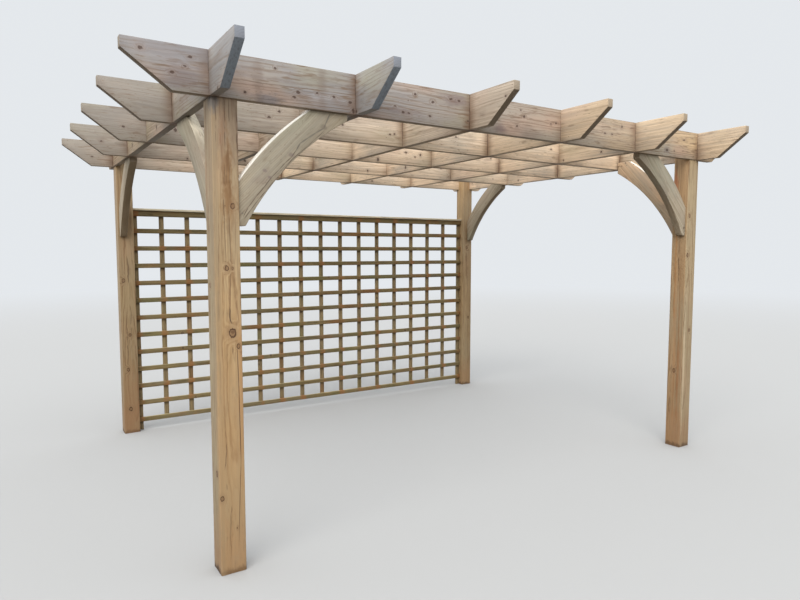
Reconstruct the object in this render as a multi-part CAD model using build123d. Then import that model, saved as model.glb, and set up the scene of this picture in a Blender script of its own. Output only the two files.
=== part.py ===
from build123d import *
import math
import os

# A free-standing wooden pergola: four posts, a flat roof of beams halved into each other, six curved
# braces and a lattice between the two back posts. Millimetres, Z up, X along the front, Y to the back.
# The origin is on the ground under the middle of the roof.

# Posts
POST = 125.0
POST_ARRIS = 5.0
FRONT = 3830.0
DEPTH = 2940.0
CLEAR = 2295.0
TONGUE_DROP = 6.0

# Roof beams
BEAM_DEPTH = 205.0
BEAM_THICK = 44.0
LONG_BEAMS = 5
CROSS_BEAMS = 6
PROUD = 8.0
TAIL = 374.0
TAIL_FLAT = 162.0
NOSE = 49.0
PLAY = 0.3

# Knee braces
BRACE_THICK = 55.0
BRACE_WIDTH = 143.0
BRACE_LEG = 590.0
BRACE_HEEL = 34.0
BRACE_RISE = 56.0
BRACE_SETBACK = 13.0
BRACE_LAP = 60.0

# Lattice between the back posts
BAR = 40.0
LATH = 19.0
TOP_RAIL = 50.0
ROWS = 13
ROW_PITCH = 151.0
BAYS = 16
CAP_THICK = 18.0
CAP_WIDTH = 62.0
CAP_BELOW_BEAMS = 345.0

# Places worked out from the sizes above
half_front = FRONT / 2
half_depth = DEPTH / 2
roof_top = CLEAR + BEAM_DEPTH
beam_in_post = BEAM_THICK - PROUD
first_cross_beam = -half_front - PROUD
first_long_beam = -half_depth - PROUD
cross_pitch = (FRONT + 2 * PROUD - BEAM_THICK) / (CROSS_BEAMS - 1)
long_pitch = (DEPTH + 2 * PROUD - BEAM_THICK) / (LONG_BEAMS - 1)
cross_beam_places = [first_cross_beam + i * cross_pitch for i in range(CROSS_BEAMS)]
long_beam_places = [first_long_beam + i * long_pitch for i in range(LONG_BEAMS)]
lattice_middle = half_depth - POST / 2
cap_top = CLEAR - CAP_BELOW_BEAMS
lattice_top = cap_top - CAP_THICK
lattice_end = half_front - POST
rail_places = [lattice_top - TOP_RAIL / 2 - row * ROW_PITCH for row in range(ROWS)]
lattice_bottom = rail_places[-1] - BAR / 2
first_upright = -lattice_end + BAR / 2
upright_pitch = (2 * lattice_end - BAR) / BAYS


def save(shape, name):
    shape.label = name
    export_step(shape, f"parts/{name}.step")
    print(name, "cubic millimetres:", round(sum(solid.volume for solid in shape.solids())))


def block(low, high):
    """A box between two opposite corners."""
    size = [b - a for a, b in zip(low, high)]
    return Pos(*low) * Box(*size, align=(Align.MIN, Align.MIN, Align.MIN))


def post():
    """Front left post: a shoulder carries the two outer beams, and a tongue stands up inside their corner."""
    tongue_top = roof_top - TONGUE_DROP
    middle = Pos(-half_front + POST / 2, -half_depth + POST / 2)
    shaft = extrude(middle * RectangleRounded(POST, POST, POST_ARRIS), tongue_top)
    notch = beam_in_post + PLAY
    left_notch = block((-half_front, -half_depth, CLEAR), (-half_front + notch, -half_depth + POST, roof_top))
    front_notch = block((-half_front, -half_depth, CLEAR), (-half_front + POST, -half_depth + notch, roof_top))
    return shaft - left_notch - front_notch


def beam_side(half_span):
    """Side of a beam: flat to just past the outer beam, then cut up at a slant to a short upright nose."""
    nose = half_span + PROUD + TAIL
    flat = half_span + PROUD + TAIL_FLAT
    right = [(flat, 0), (nose, BEAM_DEPTH - NOSE), (nose, BEAM_DEPTH)]
    left = [(-x, z) for x, z in reversed(right)]
    return make_face(Polyline(*right, *left, close=True))


def long_beam(place):
    """Beam along X, notched from the top where each cross-beam drops in."""
    plane = Plane(origin=(0, place + BEAM_THICK, CLEAR), x_dir=(1, 0, 0), z_dir=(0, -1, 0))
    beam = extrude(plane * beam_side(half_front), BEAM_THICK)
    for x in cross_beam_places:
        low = (x - PLAY, place - PLAY, CLEAR + BEAM_DEPTH / 2)
        high = (x + BEAM_THICK + PLAY, place + BEAM_THICK + PLAY, roof_top + PLAY)
        beam -= block(low, high)
    return beam


def cross_beam(place):
    """Beam along Y, notched from below so that it sits down over each long beam."""
    plane = Plane(origin=(place, 0, CLEAR), x_dir=(0, 1, 0), z_dir=(1, 0, 0))
    beam = extrude(plane * beam_side(half_depth), BEAM_THICK)
    for y in long_beam_places:
        low = (place - PLAY, y - PLAY, CLEAR - PLAY)
        high = (place + BEAM_THICK + PLAY, y + BEAM_THICK + PLAY, CLEAR + BEAM_DEPTH / 2)
        beam -= block(low, high)
    return beam


def brace_side():
    """Side of a brace, from the corner of post and beam: a band between two arcs of one centre."""
    middle = (BRACE_LEG + BRACE_HEEL) / 2
    half_chord = (BRACE_LEG - BRACE_HEEL) / math.sqrt(2)
    inner = (half_chord**2 + BRACE_RISE**2) / (2 * BRACE_RISE)
    centre = middle + (inner - BRACE_RISE) / math.sqrt(2)
    ring = Circle(inner + BRACE_WIDTH) - Circle(inner)
    window = Pos(BRACE_LEG / 2, (BRACE_LAP - BRACE_LEG) / 2) * Rectangle(BRACE_LEG, BRACE_LEG + BRACE_LAP)
    return (Pos(centre, -centre) * ring) & window


def front_left_brace():
    """Brace in the plane of the front beam. Above the beam's underside it is thinned to lap the inner face."""
    plane = Plane(
        origin=(-half_front + POST, -half_depth + BRACE_SETBACK + BRACE_THICK, CLEAR),
        x_dir=(1, 0, 0),
        z_dir=(0, -1, 0),
    )
    brace = extrude(plane * brace_side(), BRACE_THICK)
    low = (-half_front, -half_depth - PROUD, CLEAR)
    high = (half_front, -half_depth + beam_in_post + PLAY, roof_top)
    return brace - block(low, high)


def left_front_brace():
    """Brace in the plane of the left beam, the front one turned about the upright through the post."""
    corner = (-half_front, -half_depth, 0)
    return mirror(front_left_brace(), about=Plane(origin=corner, z_dir=(1, -1, 0)))


def lattice():
    """Square lattice of laths: rails from post to post in front, nailed across the uprights behind them."""
    laths = []
    for row, middle in enumerate(rail_places):
        half = TOP_RAIL / 2 if row == 0 else BAR / 2
        low = (-lattice_end, lattice_middle - LATH, middle - half)
        high = (lattice_end, lattice_middle, middle + half)
        laths.append(block(low, high))
    for bay in range(1, BAYS):
        middle = first_upright + bay * upright_pitch
        low = (middle - BAR / 2, lattice_middle, lattice_bottom)
        high = (middle + BAR / 2, lattice_middle + LATH, lattice_top)
        laths.append(block(low, high))
    return laths[0].fuse(*laths[1:])


def left_stile():
    """Upright at the lattice's left end, on the back left post from the ground to the cap."""
    low = (-lattice_end, lattice_middle, 0)
    high = (-lattice_end + BAR, lattice_middle + LATH, lattice_top)
    return block(low, high)


def cap_rail():
    """Capping strip along the top of the lattice, from post to post."""
    low = (-lattice_end, lattice_middle - CAP_WIDTH / 2, lattice_top)
    high = (lattice_end, lattice_middle + CAP_WIDTH / 2, cap_top)
    return block(low, high)


os.makedirs("parts", exist_ok=True)

front_left = post()
front_right = mirror(front_left, about=Plane.YZ)
save(front_left, "post_front_left")
save(front_right, "post_front_right")
save(mirror(front_left, about=Plane.XZ), "post_back_left")
save(mirror(front_right, about=Plane.XZ), "post_back_right")

for number, place in enumerate(long_beam_places, start=1):
    save(long_beam(place), f"long_beam_{number}")
for number, place in enumerate(cross_beam_places, start=1):
    save(cross_beam(place), f"cross_beam_{number}")

front_brace = front_left_brace()
side_brace = left_front_brace()
save(front_brace, "brace_front_left")
save(mirror(front_brace, about=Plane.YZ), "brace_front_right")
save(side_brace, "brace_left_front")
save(mirror(side_brace, about=Plane.XZ), "brace_left_back")
save(mirror(side_brace, about=Plane.YZ), "brace_right_front")
save(mirror(mirror(side_brace, about=Plane.XZ), about=Plane.YZ), "brace_right_back")

save(lattice(), "trellis_lattice")
save(left_stile(), "trellis_left_stile")
save(mirror(left_stile(), about=Plane.YZ), "trellis_right_stile")
save(cap_rail(), "trellis_cap_rail")
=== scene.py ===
# %% [markdown]
# This lesson finishes a wooden pergola. The joiner's part is done already: posts, roof beams, braces and
# trellis stand at their real sizes in metres, and nothing here moves them. What is left is what an eye
# looks for in outdoor timber: eased arrises, grain that follows each board, knots, drying checks, damp
# stains at the joints, and the small fixings. The first cell loads the timber frame and measures it.

import math

import bpy
from mathutils import Matrix, Vector


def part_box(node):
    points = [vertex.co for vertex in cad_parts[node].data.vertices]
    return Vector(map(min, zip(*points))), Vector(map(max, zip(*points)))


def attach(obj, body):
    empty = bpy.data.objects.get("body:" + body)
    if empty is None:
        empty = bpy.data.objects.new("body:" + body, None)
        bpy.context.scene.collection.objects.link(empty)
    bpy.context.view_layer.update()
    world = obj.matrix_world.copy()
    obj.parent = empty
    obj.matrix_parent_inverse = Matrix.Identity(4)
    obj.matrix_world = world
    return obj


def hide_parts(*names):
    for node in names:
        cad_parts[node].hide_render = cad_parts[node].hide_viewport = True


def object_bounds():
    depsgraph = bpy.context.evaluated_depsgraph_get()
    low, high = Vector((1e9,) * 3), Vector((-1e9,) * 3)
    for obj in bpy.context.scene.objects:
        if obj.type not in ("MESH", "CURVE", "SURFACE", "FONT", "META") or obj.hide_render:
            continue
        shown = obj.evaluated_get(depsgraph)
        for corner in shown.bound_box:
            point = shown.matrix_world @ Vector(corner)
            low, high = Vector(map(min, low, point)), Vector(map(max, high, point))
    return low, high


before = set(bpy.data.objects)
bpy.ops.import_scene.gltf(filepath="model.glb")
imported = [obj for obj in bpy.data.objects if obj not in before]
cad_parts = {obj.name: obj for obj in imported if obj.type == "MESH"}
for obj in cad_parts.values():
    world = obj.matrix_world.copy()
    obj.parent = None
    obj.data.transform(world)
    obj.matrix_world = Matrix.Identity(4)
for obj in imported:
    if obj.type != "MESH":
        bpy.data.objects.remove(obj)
cad_low, cad_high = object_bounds()
cad_size = [round(side, 3) for side in cad_high - cad_low]
print("timbers in the frame:", len(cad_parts), "box in metres:", cad_size)

# %% [markdown]
# A camera can be matched to a photograph when a few lines of known length are seen in it. Here the focal
# length, the eye's place and the direction of view were worked out from the corners of posts and beams.
# Blender measures a lens against a sensor 36 mm wide, so a focal length in pixels is turned into
# millimetres by the picture's width. The eye is 1.59 m above the ground at the lowest post foot.

# %% Set up the camera
SENSOR_MM = 36.0
PICTURE_WIDTH = 800
FOCAL_PIXELS = 622.5
EYE = Vector((-2.757, -4.401, 1.588))
PAN = math.radians(32.596)
TILT = math.radians(-4.557)
SEES_AS_FAR_AS = 200

camera_data = bpy.data.cameras.new("eye_level_camera")
camera_data.sensor_width = SENSOR_MM
camera_data.lens = FOCAL_PIXELS * SENSOR_MM / PICTURE_WIDTH
camera_data.clip_end = SEES_AS_FAR_AS
camera = bpy.data.objects.new("eye_level_camera", camera_data)
bpy.context.scene.collection.objects.link(camera)
turn_right = Matrix.Rotation(-PAN, 4, "Z")
look_level = Matrix.Rotation(math.pi / 2 + TILT, 4, "X")
camera.matrix_world = Matrix.Translation(EYE) @ turn_right @ look_level
bpy.context.scene.camera = camera
bpy.context.scene.view_settings.view_transform = "Standard"
print("lens in millimetres:", round(camera_data.lens, 2))

# %% [markdown]
# Shader maths soon turns into a tangle of wires. Two small classes keep it readable. A Wire is a number that
# flows between nodes: adding or multiplying wires adds Math nodes. A Finish is one material, or the world,
# and its node method makes any other node from its settings and the values or wires of its sockets.

# %% Write shader maths as plain expressions
class Wire:
    """A value flowing between two nodes."""

    def __init__(self, finish, socket):
        self.finish = finish
        self.socket = socket

    def maths(self, operation, *others):
        return self.finish.maths(operation, self, *others)

    def __add__(self, other):
        return self.maths("ADD", other)

    def __sub__(self, other):
        return self.maths("SUBTRACT", other)

    def __mul__(self, other):
        return self.maths("MULTIPLY", other)

    def __truediv__(self, other):
        return self.maths("DIVIDE", other)

    def __rsub__(self, other):
        return self.finish.maths("SUBTRACT", other, self)

    def __abs__(self):
        return self.maths("ABSOLUTE")

    __radd__ = __add__
    __rmul__ = __mul__


class Finish:
    """One material, or the world where it is given as owner, built from the surface's place outwards."""

    def __init__(self, name, owner=None):
        self.owner = owner or bpy.data.materials.new(name)
        self.owner.use_nodes = True
        self.tree = self.owner.node_tree
        self.tree.nodes.clear()

    def node(self, kind, settings=None, inputs=None, outputs=(0,)):
        """Makes a node, sets it up, feeds it, and returns a wire from each output asked for."""
        made = self.tree.nodes.new("ShaderNode" + kind)
        for setting, value in (settings or {}).items():
            setattr(made, setting, value)
        for socket, value in (inputs or {}).items():
            if isinstance(value, Wire):
                self.tree.links.new(value.socket, made.inputs[socket])
            else:
                made.inputs[socket].default_value = value
        wires = [Wire(self, made.outputs[output]) for output in outputs]
        return wires[0] if len(wires) == 1 else wires

    def maths(self, operation, *terms):
        return self.node("Math", {"operation": operation}, dict(enumerate(terms)))

    def vector_maths(self, operation, *terms):
        """A length or a dot product comes out as a number, anything else as a vector."""
        output = "Value" if operation in ("LENGTH", "DOT_PRODUCT") else "Vector"
        return self.node("VectorMath", {"operation": operation}, dict(enumerate(terms)), (output,))

    def vector(self, x, y, z):
        return self.node("CombineXYZ", None, {0: x, 1: y, 2: z})

    def split(self, vector):
        return self.node("SeparateXYZ", None, {0: vector}, (0, 1, 2))

    def object_place(self):
        return self.node("TexCoord", outputs=("Object",))

    def facing(self, direction):
        """How squarely the surface faces a direction, from -1 to 1."""
        normal = self.node("NewGeometry", outputs=("Normal",))
        return self.vector_maths("DOT_PRODUCT", normal, direction)

    def noise(self, vector, detail=2.0, scale=1.0):
        """Smooth noise about 0, between -0.5 and 0.5."""
        return self.node("TexNoise", None, {"Vector": vector, "Scale": scale, "Detail": detail}) - 0.5

    def step(self, value, low, high):
        """0 at low, 1 at high and smooth between. Low may be above high."""
        limits = {"Value": value, "From Min": low, "From Max": high}
        return self.node("MapRange", {"interpolation_type": "SMOOTHSTEP"}, limits)

    def mix(self, share, first, second):
        return self.node("Mix", {"data_type": "RGBA"}, {0: share, 6: first, 7: second}, (2,))

    def show(self, surface, kind="Material"):
        """Ends the nodes at a surface and returns the material."""
        self.node("Output" + kind, None, {"Surface": surface}, ())
        return self.owner


print("shader maths is ready")

# %% [markdown]
# The pergola stands on plain pale ground under a soft overcast dome, bright overhead and dimmer towards the
# horizon, because that is the light that shows planed timber best: tops glow, faces are even and undersides
# fall dark. A bright place in the clouds, front left, is a sun lamp so broad that its shadows are only a
# soft darkening beside the feet. The camera sees the ground and the backdrop paler than they light the
# timber, so that the undersides keep their depth. Far away the ground fades into the backdrop.

# %% Lay the ground
GROUND_SIZE = 160.0
GROUND_SEEN = (0.39, 0.39, 0.39, 1.0)
GROUND_BOUNCE = (0.155, 0.14, 0.12, 1.0)
FADES_FROM, FADES_TO = 7.0, 24.0
BACKDROP_SEEN = (0.78, 0.81, 0.84, 1.0)


def seen_directly(finish):
    """1 for rays from the camera, and for reflections and glass, so that they show the same studio."""
    camera_ray, glossy_ray, through_ray = finish.node(
        "LightPath", outputs=("Is Camera Ray", "Is Glossy Ray", "Is Transmission Ray")
    )
    either = {0: camera_ray + glossy_ray, 1: through_ray}
    return finish.node("Math", {"operation": "ADD", "use_clamp": True}, either)


bpy.ops.object.select_all(action="DESELECT")
bpy.ops.mesh.primitive_plane_add(size=GROUND_SIZE, location=(0, 0, 0))
ground = bpy.context.object
ground.name = "pale_ground"
earth = Finish("pale_ground_finish")
seen = seen_directly(earth)
near_earth = earth.node("BsdfDiffuse", None, {"Color": earth.mix(seen, GROUND_BOUNCE, GROUND_SEEN)})
haze = earth.node("Emission", None, {"Color": BACKDROP_SEEN, "Strength": 1.0})
hazy = earth.step(earth.vector_maths("LENGTH", earth.object_place()), FADES_FROM, FADES_TO) * seen
surface = earth.node("MixShader", None, {0: hazy, 1: near_earth, 2: haze})
ground.data.materials.append(earth.show(surface))
print("ground laid, metres across:", GROUND_SIZE)

# %% Hang the light
SKY_COLOUR = (0.95, 0.98, 1.0, 1.0)
SKY_OVERHEAD, SKY_HORIZON = 1.85, 0.48
HORIZON_AT, ZENITH_AT = -0.1, 1.0
LAMP_WATTS, LAMP_SIZE = 70, 4.5
LAMP_PLACE, LAMP_AIM = Vector((-2.2, -8.5, 4.6)), Vector((0, 0, 1.2))
CLOUD_STRENGTH, CLOUD_BREADTH = 2.1, math.radians(50)
CLOUD_PLACE = Vector((-7.92, -6.72, 7.92))


def hang(name, kind, strength, colour, place, aim):
    """Hangs a lamp at one place, shining at another, and returns its settings."""
    lamp = bpy.data.objects.new(name, bpy.data.lights.new(name, kind))
    bpy.context.scene.collection.objects.link(lamp)
    lamp.data.energy = strength
    lamp.data.color = colour
    lamp.location = place
    lamp.rotation_euler = (aim - place).to_track_quat("-Z", "Y").to_euler()
    return lamp.data


world = bpy.data.worlds.new("overcast_dome")
bpy.context.scene.world = world
dome = Finish("overcast_dome", world)
direction = dome.node("TexCoord", outputs=("Generated",))
overhead = dome.step(dome.split(direction)[2], HORIZON_AT, ZENITH_AT)
sky_strength = overhead * (SKY_OVERHEAD - SKY_HORIZON) + SKY_HORIZON
sky = dome.node("Background", None, {"Color": SKY_COLOUR, "Strength": sky_strength})
backdrop = dome.node("Background", None, {"Color": BACKDROP_SEEN, "Strength": 1.0})
dome.show(dome.node("MixShader", None, {0: seen_directly(dome), 1: sky, 2: backdrop}), "World")

hang("broad_front_lamp", "AREA", LAMP_WATTS, (1.0, 0.97, 0.93), LAMP_PLACE, LAMP_AIM).size = LAMP_SIZE
hang("bright_cloud", "SUN", CLOUD_STRENGTH, (1.0, 0.96, 0.90), CLOUD_PLACE, Vector()).angle = CLOUD_BREADTH
print("dome, lamp and bright cloud are in place")

# %% [markdown]
# Sawn timber is a cut through a log, so its pattern is easiest to make as a solid: growth rings are shells
# around the pith, and a board shows whatever shells its faces cut. Faces along the grain then get long
# arches and lines, and ends get arcs, with no seam between them. The pith wanders a little along the
# log, which is what makes the arches. Knots are branches: some are scattered by chance, and those that
# catch the eye are put where they belong. Drying checks are splits that open along the grain.

# %% Cut timber out of a log
WANDER = 0.050
SWAY = 0.024
KNOT_EVERY = 0.40
KNOTS_ROUND = 6
KNOT_LENGTH = 1.25
LEAST_KNOT, KNOT_SIZE = 0.0002, 0.011
CHECKS_ROUND = 11
CHECK_WIDTH = 0.0020
GRAIN = {"x": (0.0, 0.0, 0.0), "y": (0.0, 0.0, math.pi / 2), "z": (0.0, -math.pi / 2, 0.0)}


class Log(Finish):
    """A finish that knows places in a log: along its grain, out from its pith and round it."""

    def __init__(self, finish, in_log, seed):
        self.owner = finish.owner
        self.tree = finish.tree
        self.along, self.across, self.upward = self.split(in_log)
        self.shifted = self.along + seed
        sideways = self.across + self.line_noise(0.55) * WANDER
        upright = self.upward + self.line_noise(0.43, 17.0) * WANDER
        self.angle = upright.maths("ARCTAN2", sideways)
        self.out = self.length(sideways, upright)
        self.place = self.object_place()
        self.swaying = self.sway()
        self.fray = self.streaks(8.0, 30.0, 4.0)
        self.ragged = self.streaks(34.0, 80.0, 3.0)

    def line_noise(self, pace, offset=0.0, detail=1.0):
        """Noise that changes only along the grain."""
        where = {"W": self.shifted * pace + offset, "Scale": 1.0, "Detail": detail}
        return self.node("TexNoise", {"noise_dimensions": "1D"}, where) - 0.5

    def sway(self):
        """Place shifted to and fro along the grain, so that long marks wander as grain does."""
        where = {"W": self.shifted * 6.0, "Scale": 1.0, "Detail": 3.0}
        noise = self.node("TexNoise", {"noise_dimensions": "1D"}, where, ("Color",))
        shift = self.vector_maths("MULTIPLY_ADD", noise, (SWAY,) * 3, (-SWAY / 2,) * 3)
        return self.vector_maths("ADD", self.place, shift)

    def length(self, first, second):
        return (first * first + second * second).maths("SQRT")

    def away(self, place, size, turn=(0.0, 0.0, 0.0), swaying=False):
        """Distance from a place in the timber, counted in half sizes, so that 1 is the edge of a blot."""
        start = self.swaying if swaying else self.place
        where = {"Vector": start, "Location": place, "Rotation": turn, "Scale": size}
        shift = self.node("Mapping", {"vector_type": "TEXTURE"}, where)
        return self.vector_maths("LENGTH", shift)

    def streaks(self, lengthways, crossways, detail=2.0):
        """Noise drawn out along the grain: cycles in a metre along it and across it."""
        across, upward = self.across * crossways, self.upward * crossways
        return self.noise(self.vector(self.shifted * lengthways, across, upward), detail)

    def knots(self, share, branches, ragged):
        """Distance from the nearest knot in knot sizes. A branch is a knot's known place and size."""
        turns = KNOTS_ROUND / (2 * math.pi)
        cell = self.vector(self.shifted / KNOT_EVERY, self.angle * turns, 0.0)
        plane = {"voronoi_dimensions": "2D"}
        where = {"Vector": cell, "Scale": 1.0}
        luck, centre = self.node("TexVoronoi", plane, where, ("Color", "Position"))
        centre_along, centre_round, _ = self.split(centre)
        away_along = (self.shifted / KNOT_EVERY - centre_along) * (KNOT_EVERY / KNOT_LENGTH)
        away_round = (self.angle - centre_round / turns) * self.out
        size = self.step(self.split(luck)[0], 1.0 - share, 1.15) * KNOT_SIZE + LEAST_KNOT
        away = self.length(away_along, away_round) / size
        for place, radius in branches:
            away = away.maths("MINIMUM", self.away(place, radius))
        return away + self.fray * 0.9 + self.streaks(70.0, 150.0, 3.0) * ragged

    def rings(self, bend, year_width):
        """Dark summer wood, 0 to 1, in growth rings that flow round the knots."""
        swell = self.streaks(1.5, 7.0) * 0.014 + self.streaks(8.0, 14.0) * 0.008
        year = ((self.out + swell + bend) / year_width).maths("FRACT")
        return self.step(year, 0.30, 0.92) * self.step(year, 1.0, 0.93)

    def lines(self, bend, spacing):
        """Thin dark lines a good way apart, along some of the growth rings."""
        swell = self.streaks(1.3, 9.0) * 0.022 + self.streaks(7.0, 22.0) * 0.008
        off_line = ((self.out + swell + bend) / spacing).maths("FRACT") - 0.5
        thin = self.step(abs(off_line), 0.26, 0.04)
        return thin * self.step(self.streaks(2.4, 26.0, 3.0) + self.ragged * 0.3, -0.16, 0.16)

    def checks(self, share):
        """Drying checks: thin dark splits along the grain, open only for part of their way."""
        turns = CHECKS_ROUND / (2 * math.pi)
        turned = (self.angle + self.line_noise(1.7, 5.0, 2.0) * 0.35) * turns
        line = {"voronoi_dimensions": "1D"}
        away, luck = self.node("TexVoronoi", line, {"W": turned, "Scale": 1.0}, ("Distance", "Color"))
        lengthways = self.vector(self.shifted * 1.1, self.split(luck)[0] * 30.0, 0.0)
        opened = self.step(self.noise(lengthways), 0.22 - share, 0.30 - share)
        return self.step(away / turns * self.out, CHECK_WIDTH, CHECK_WIDTH * 0.25) * opened


print("logs can be cut along:", list(GRAIN))

# %% [markdown]
# Every timber gets the same recipe with its own log. A pale and a deep tone are mixed by rings, streaks and
# hairs. Over them go a grey veil, a blush and a greenish tinge where the weather has worked, then smudges,
# thin dark lines, short dashes and specks, and last the knots and checks. Undersides turn brown, partly as
# wood the sun has not weathered and partly as painted shade, and cut ends drink more water, so they are
# darker.
# A wash is a veil that tints the pale and the deep tone before the grain is drawn, so that the grain still
# shows through it. In a look, year and spacing are widths in metres, and the other numbers say how strong
# each layer is. Height is in metres and shallow: rings stand proud by a tenth of a millimetre and checks
# sink.

# %% Mix the finish of one timber
UP = (0.0, 0.0, 1.0)
WASH_PALER, WASH_DEEPER = 1.12, 0.84
DULL = 0.25


def paint(red, green, blue):
    """A colour from its screen values, 0 to 255, as the linear light that a surface needs."""
    return (*[((value / 255 + 0.055) / 1.055) ** 2.4 for value in (red, green, blue)], 1.0)


def shaded(colour, factor):
    return (*[value * factor for value in colour[:3]], 1.0)


class Wash:
    """A veil of a colour that leaves the grain. Share is a function of the log that returns a wire."""

    def __init__(self, colour, share):
        self.colour = colour
        self.share = share


def laid_over(log, colour, look, layers):
    """A colour with layers mixed over it, one by one: each is a share and the name of a tone."""
    for share, tone in layers:
        colour = log.mix(share, colour, look[tone])
    return colour


def finish_log(log, direction, look, marks=(), branches=()):
    """Colour, roughness and height of a timber cut from a log whose grain runs in a direction."""
    knot_away = log.knots(look["knots"], branches, look["ragged"])
    in_knot = log.step(knot_away, 1.1, 0.8)
    knot_rim = log.step(abs(knot_away - 0.92), 0.30, 0.08)
    near_knot = log.step(knot_away, 3.6, 0.8)
    ring = log.rings(near_knot * 0.011, look["year"])
    thin_line = log.lines(near_knot * 0.014, look["spacing"])
    check = log.checks(look["checks"])
    broad = log.streaks(0.5, 15.0)
    fine = log.streaks(1.4, 70.0)
    hair = log.streaks(3.0, 110.0, 3.0)
    fibre = log.streaks(22.0, 700.0, 1.0)
    patch = log.streaks(1.6, 4.0, 3.0)
    blush = log.streaks(2.3, 5.0)
    smudge = log.streaks(4.5, 9.0, 4.0)
    dash = log.streaks(10.0, 80.0, 4.0)
    speck = log.streaks(55.0, 130.0) + patch * 0.25

    depth = ring * look["ring"] + broad * look["broad"] + fine * look["fine"] + hair * look["hair"]
    pale, deep = look["pale"], look["deep"]
    for mark in marks:
        if isinstance(mark, Wash):
            share = mark.share(log)
            pale = log.mix(share, pale, shaded(mark.colour, WASH_PALER))
            deep = log.mix(share, deep, shaded(mark.colour, WASH_DEEPER))
    upward = log.facing(UP)
    weather = [
        (log.step(patch + look["greyed"] + fine * 0.4, -0.12, 0.4), "grey"),
        (log.step(blush, 0.02, 0.28) * look["tinted"], "blush"),
        (log.step(blush, -0.02, -0.28) * look["tinted"], "tinge"),
        (log.step(smudge, 0.07, 0.26) * look["smudged"], "halo"),
        (thin_line * look["lines"], "line"),
        (log.step(dash, 0.07, 0.20) * look["dashes"], "line"),
        (log.step(speck, 0.17, 0.27) * look["specks"], "line"),
        # Downward faces turn brown: partly wood the sun has not weathered, partly painted shade.
        (log.step(upward, -0.35, -0.75) * 0.7, "soffit"),
    ]
    colour = laid_over(log, log.mix(depth + fibre * 0.35 + 0.35, pale, deep), look, weather)
    for mark in marks:
        if not isinstance(mark, Wash):
            colour = mark(log, colour)

    along = log.facing(direction)
    end_grain = log.step(along * along, 0.16, 0.32)
    slanted = end_grain * log.step(upward, -0.35, -0.6)
    fleck = log.noise(log.place, 4.0, 45.0)
    growth = [
        (near_knot * 0.35, "halo"),
        (in_knot * look["heart"], "knot"),
        (knot_rim * look["rim"], "check"),
        (check * 0.85, "check"),
        (end_grain * look["ends"], "end"),
        (slanted * (fleck * 0.8 + 0.82), "slant"),
        (slanted * log.step(hair, -0.05, 0.25) * 0.4, "check"),
    ]
    roughness = 0.68 + patch * 0.12 - ring * 0.05
    height = ring * 0.0001 + fibre * 0.0002 + fine * 0.0004 - check * 0.0025 - in_knot * 0.0003
    height = height - thin_line * 0.0004
    bump = log.node("Bump", None, {"Strength": 1.0, "Distance": 1.0, "Height": height})
    sockets = {
        "Base Color": laid_over(log, colour, look, growth),
        "Roughness": roughness,
        "Normal": bump,
        "Specular IOR Level": DULL,
    }
    return log.show(log.node("BsdfPrincipled", None, sockets))


def timber_finish(name, pith, turn, seed, look, marks=(), branches=()):
    """The finish of one timber, cut from a log whose pith passes a point and runs the way of a turn."""
    finish = Finish(name)
    where = {"Vector": finish.object_place(), "Location": pith, "Rotation": turn}
    in_log = finish.node("Mapping", {"vector_type": "TEXTURE"}, where)
    direction = Matrix.Rotation(turn[2], 3, "Z") @ Matrix.Rotation(turn[1], 3, "Y") @ Vector((1, 0, 0))
    return finish_log(Log(finish, in_log, seed), direction, look, marks, branches)


print("a finish lays its tones over the grain one by one")

# %% Choose the looks of the timbers
def tones(**colours):
    """The tones of a look, painted from their screen values."""
    return {name: paint(*values) for name, values in colours.items()}


POST_LOOK = tones(
    pale=(194, 168, 130), deep=(148, 119, 82), grey=(160, 144, 118), blush=(190, 152, 122),
    tinge=(166, 150, 116), line=(116, 88, 62), knot=(112, 82, 56), halo=(140, 112, 84),
    check=(84, 60, 44), soffit=(128, 106, 80), end=(140, 116, 88), slant=(120, 100, 78),
) | dict(
    year=0.0052, spacing=0.010, ring=0.30, broad=1.0, fine=1.0, hair=1.2, greyed=0.02, tinted=0.25,
    smudged=0.15, lines=0.70, dashes=0.30, specks=0.0, knots=0.22, ragged=0.8, heart=0.45, rim=1.0,
    checks=0.05, ends=0.5,
)
BEAM_LOOK = POST_LOOK | tones(
    pale=(196, 178, 156), deep=(158, 136, 112), grey=(165, 157, 146), blush=(186, 156, 138),
    tinge=(164, 158, 132), line=(122, 102, 84), knot=(80, 62, 54), halo=(136, 118, 108),
    check=(82, 66, 56), soffit=(122, 104, 80), end=(150, 136, 118), slant=(112, 98, 82),
) | dict(
    year=0.0075, spacing=0.013, ring=0.60, broad=0.9, tinted=0.6, smudged=0.50, lines=0.58, dashes=0.75,
    specks=0.55, knots=0.55, ragged=2.0, heart=0.85, rim=0.35, checks=-0.04, ends=0.7,
)
BRACE_LOOK = BEAM_LOOK | tones(
    pale=(188, 176, 156), deep=(146, 132, 110), grey=(158, 152, 138), blush=(166, 150, 132),
    tinge=(154, 152, 132),
) | dict(knots=0.10, ring=0.40, dashes=0.45, lines=0.22, spacing=0.020)
print("tones and strengths in a look:", len(BEAM_LOOK))

# %% [markdown]
# Weather leaves its own marks on top of the grain: a brown or grey blot where water has stood, and dark
# splits. Each such mark is a function that takes the log and the colour so far and returns the new colour,
# so a timber's marks are simply a list, and the washes stand in the same list. One wash is painted light and
# shade: it tints the sides that face one way, as light would fall on them. Sizes are half sizes, and the
# edges are frayed along the grain, as a stain creeps. Most marks lie on one flat face, where two numbers
# give their
# place: how far across and how far up. So a face turns rows of numbers into marks, and its rows are in
# millimetres, because most of these marks are only a few millimetres wide.

# %% Write down the marks that weather leaves, and a painted side light
DARK_SPLIT = paint(78, 58, 44)
LEFT = (-1.0, 0.0, 0.0)
FRONT, BACK = (0.0, -1.0, 0.0), (0.0, 1.0, 0.0)


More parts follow.
